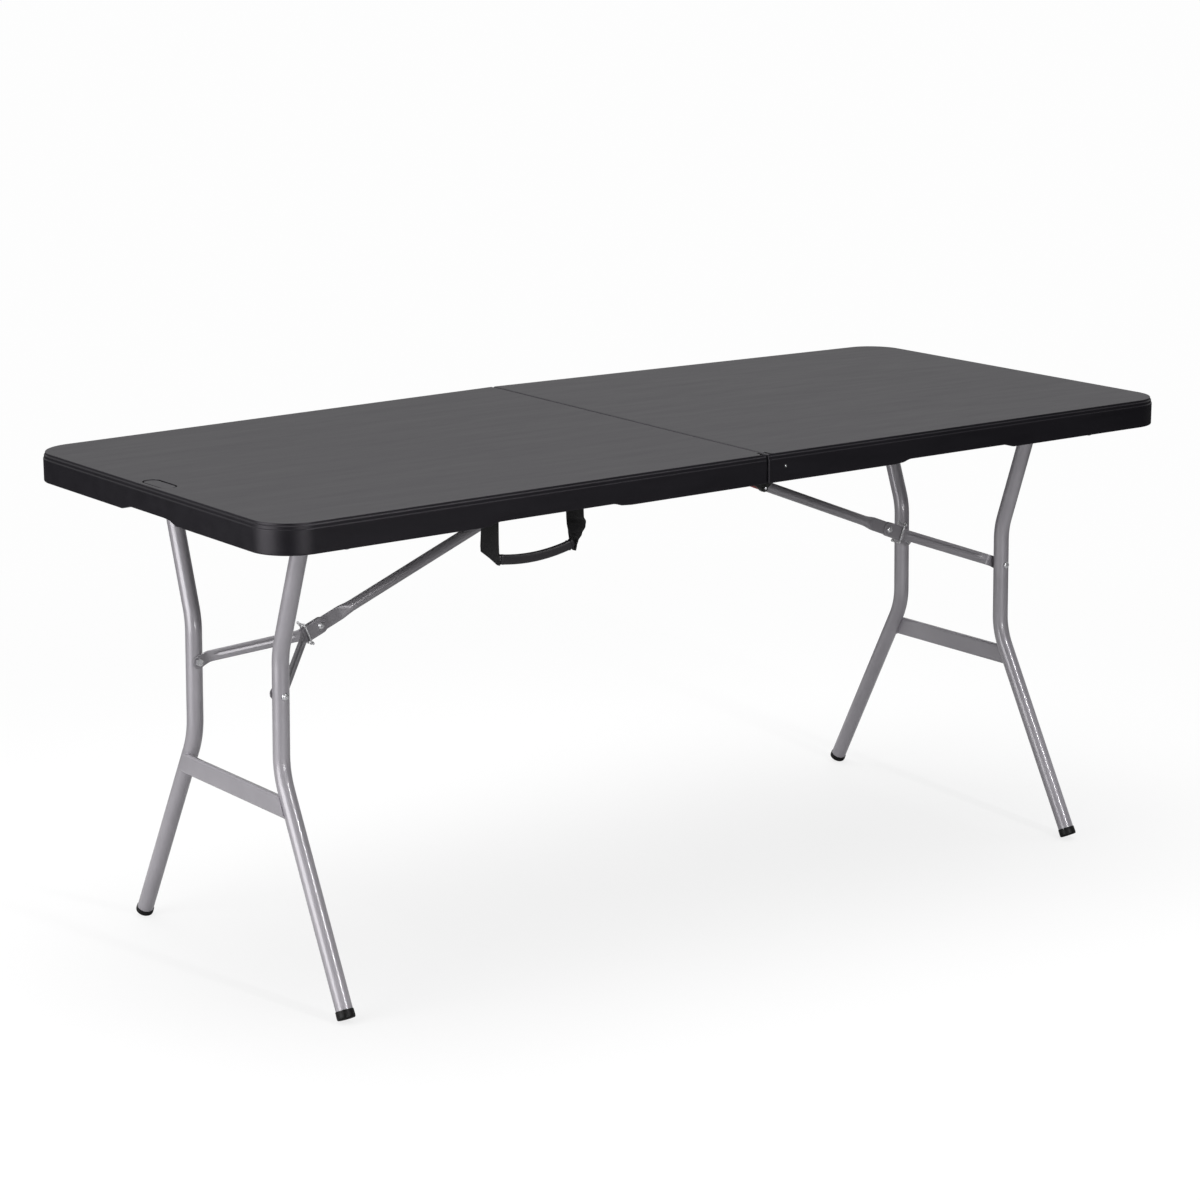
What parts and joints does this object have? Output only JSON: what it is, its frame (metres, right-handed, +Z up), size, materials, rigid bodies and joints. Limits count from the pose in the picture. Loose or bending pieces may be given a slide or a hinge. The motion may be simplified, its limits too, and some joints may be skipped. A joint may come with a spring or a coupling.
{
  "type": "folding table",
  "caption": "Long folding table with a moulded top hinged at the middle, two folding bent-tube leg frames with locking braces, and a webbing carry handle.",
  "frame": {"origin": "on the floor, under the middle of the open table", "axes": "+Z up; +X along the table, to the half without the handle; -Y to the long side that carries the handle"},
  "size_m": [1.68, 0.712, 0.74],
  "materials": {
    "moulded_plastic": "blow-moulded polyethylene, fine lengthwise grain, satin",
    "grey_steel": "powder coated, satin",
    "leg_enamel": "powder coated, semi-gloss",
    "brace_enamel": "powder coated, semi-gloss",
    "black_steel": "black powder coat",
    "zinc_fasteners": "zinc plated",
    "zinc_wire": "zinc plated wire",
    "bush_plastic": "moulded nylon",
    "foot_rubber": "moulded rubber",
    "sleeve_plastic": "dark red vinyl sleeve",
    "webbing": "woven polypropylene webbing",
    "grip_plastic": "soft moulded grip"
  },
  "bodies": {
    "left_half": {"left_top": "moulded_plastic", "rail_left_front": "grey_steel", "rail_left_rear": "grey_steel", "hinge_leaf_left_front": "black_steel", "hinge_leaf_left_rear": "black_steel", "hinge_pin_front": "black_steel", "hinge_pin_rear": "black_steel", "pivot_bracket_left_front": "grey_steel", "pivot_bracket_left_rear": "grey_steel", "pivot_bushes_left": "bush_plastic", "link_bracket_left": "grey_steel", "link_pin_left": "zinc_fasteners", "under_screws_left": "zinc_fasteners", "webbing_stubs": "webbing", "webbing_pins": "zinc_fasteners"},
    "right_half": {"right_top": "moulded_plastic", "rail_right_front": "grey_steel", "rail_right_rear": "grey_steel", "hinge_leaf_right_front": "black_steel", "hinge_leaf_right_rear": "black_steel", "pivot_bracket_right_front": "grey_steel", "pivot_bracket_right_rear": "grey_steel", "pivot_bushes_right": "bush_plastic", "link_bracket_right": "grey_steel", "link_pin_right": "zinc_fasteners", "under_screws_right": "zinc_fasteners"},
    "left_leg": {"leg_left_front": "leg_enamel", "leg_left_rear": "leg_enamel", "pivot_tube_left": "leg_enamel", "crossbar_left": "leg_enamel", "foot_left_front": "foot_rubber", "foot_left_rear": "foot_rubber", "arm_bolts_left": "zinc_fasteners"},
    "left_link": {"link_left": "brace_enamel"},
    "left_arms": {"arm_left_front": "brace_enamel", "arm_left_rear": "brace_enamel", "knee_rivet_left": "zinc_fasteners", "arm_nuts_left": "zinc_fasteners"},
    "left_ring": {"lock_ring_left": "zinc_wire"},
    "right_leg": {"leg_right_front": "leg_enamel", "leg_right_rear": "leg_enamel", "pivot_tube_right": "leg_enamel", "crossbar_right": "leg_enamel", "foot_right_front": "foot_rubber", "foot_right_rear": "foot_rubber", "arm_bolts_right": "zinc_fasteners"},
    "right_link": {"link_right": "brace_enamel", "sleeve_right": "sleeve_plastic"},
    "right_arms": {"arm_right_front": "brace_enamel", "arm_right_rear": "brace_enamel", "knee_rivet_right": "zinc_fasteners", "arm_nuts_right": "zinc_fasteners"},
    "right_ring": {"lock_ring_right": "zinc_wire"},
    "handle": {"webbing_ends": "webbing", "handle_grip": "grip_plastic"}
  },
  "joints": [
    {"name": "centre_fold", "type": "hinge", "parent": "left_half", "child": "right_half", "pos_m": [0, 0, 0.69], "axis": [0, 1, 0], "range_deg": [0, 85]},
    {"name": "right_leg_fold", "type": "hinge", "parent": "right_half", "child": "right_leg", "pos_m": [0.704, 0, 0.699], "axis": [0, 1, 0], "range_deg": [0, 91]},
    {"name": "right_link_swing", "type": "hinge", "parent": "right_half", "child": "right_link", "pos_m": [0.012, 0, 0.713], "axis": [0, -1, 0], "range_deg": [0, 21.5]},
    {"name": "right_knee", "type": "hinge", "parent": "right_link", "child": "right_arms", "pos_m": [0.55759, 0, 0.49666], "axis": [0, 1, 0], "range_deg": [0, 178.6]},
    {"name": "right_ring_slide", "type": "slide", "parent": "right_arms", "child": "right_ring", "axis": [-0.9296, 0, 0.3686], "range_m": [0, 0.014]},
    {"name": "left_leg_fold", "type": "hinge", "parent": "left_half", "child": "left_leg", "pos_m": [-0.704, 0, 0.699], "axis": [0, -1, 0], "range_deg": [0, 91]},
    {"name": "left_link_swing", "type": "hinge", "parent": "left_half", "child": "left_link", "pos_m": [-0.012, 0, 0.713], "axis": [0, 1, 0], "range_deg": [0, 21.5]},
    {"name": "left_knee", "type": "hinge", "parent": "left_link", "child": "left_arms", "pos_m": [-0.55759, 0, 0.49666], "axis": [0, -1, 0], "range_deg": [0, 178.6]},
    {"name": "left_ring_slide", "type": "slide", "parent": "left_arms", "child": "left_ring", "axis": [0.9296, 0, 0.3686], "range_m": [0, 0.014]},
    {"name": "handle_swing", "type": "hinge", "parent": "left_half", "child": "handle", "pos_m": [-0.407, -0.333, 0.676], "axis": [1, 0, 0], "range_deg": [-60, 30]}
  ],
  "couplings": [
    {"joint": "right_link_swing", "follows": "right_leg_fold", "ratio": 0.23501},
    {"joint": "right_knee", "follows": "right_leg_fold", "ratio": 1.9612},
    {"joint": "left_link_swing", "follows": "left_leg_fold", "ratio": 0.23501},
    {"joint": "left_knee", "follows": "left_leg_fold", "ratio": 1.9612}
  ]
}
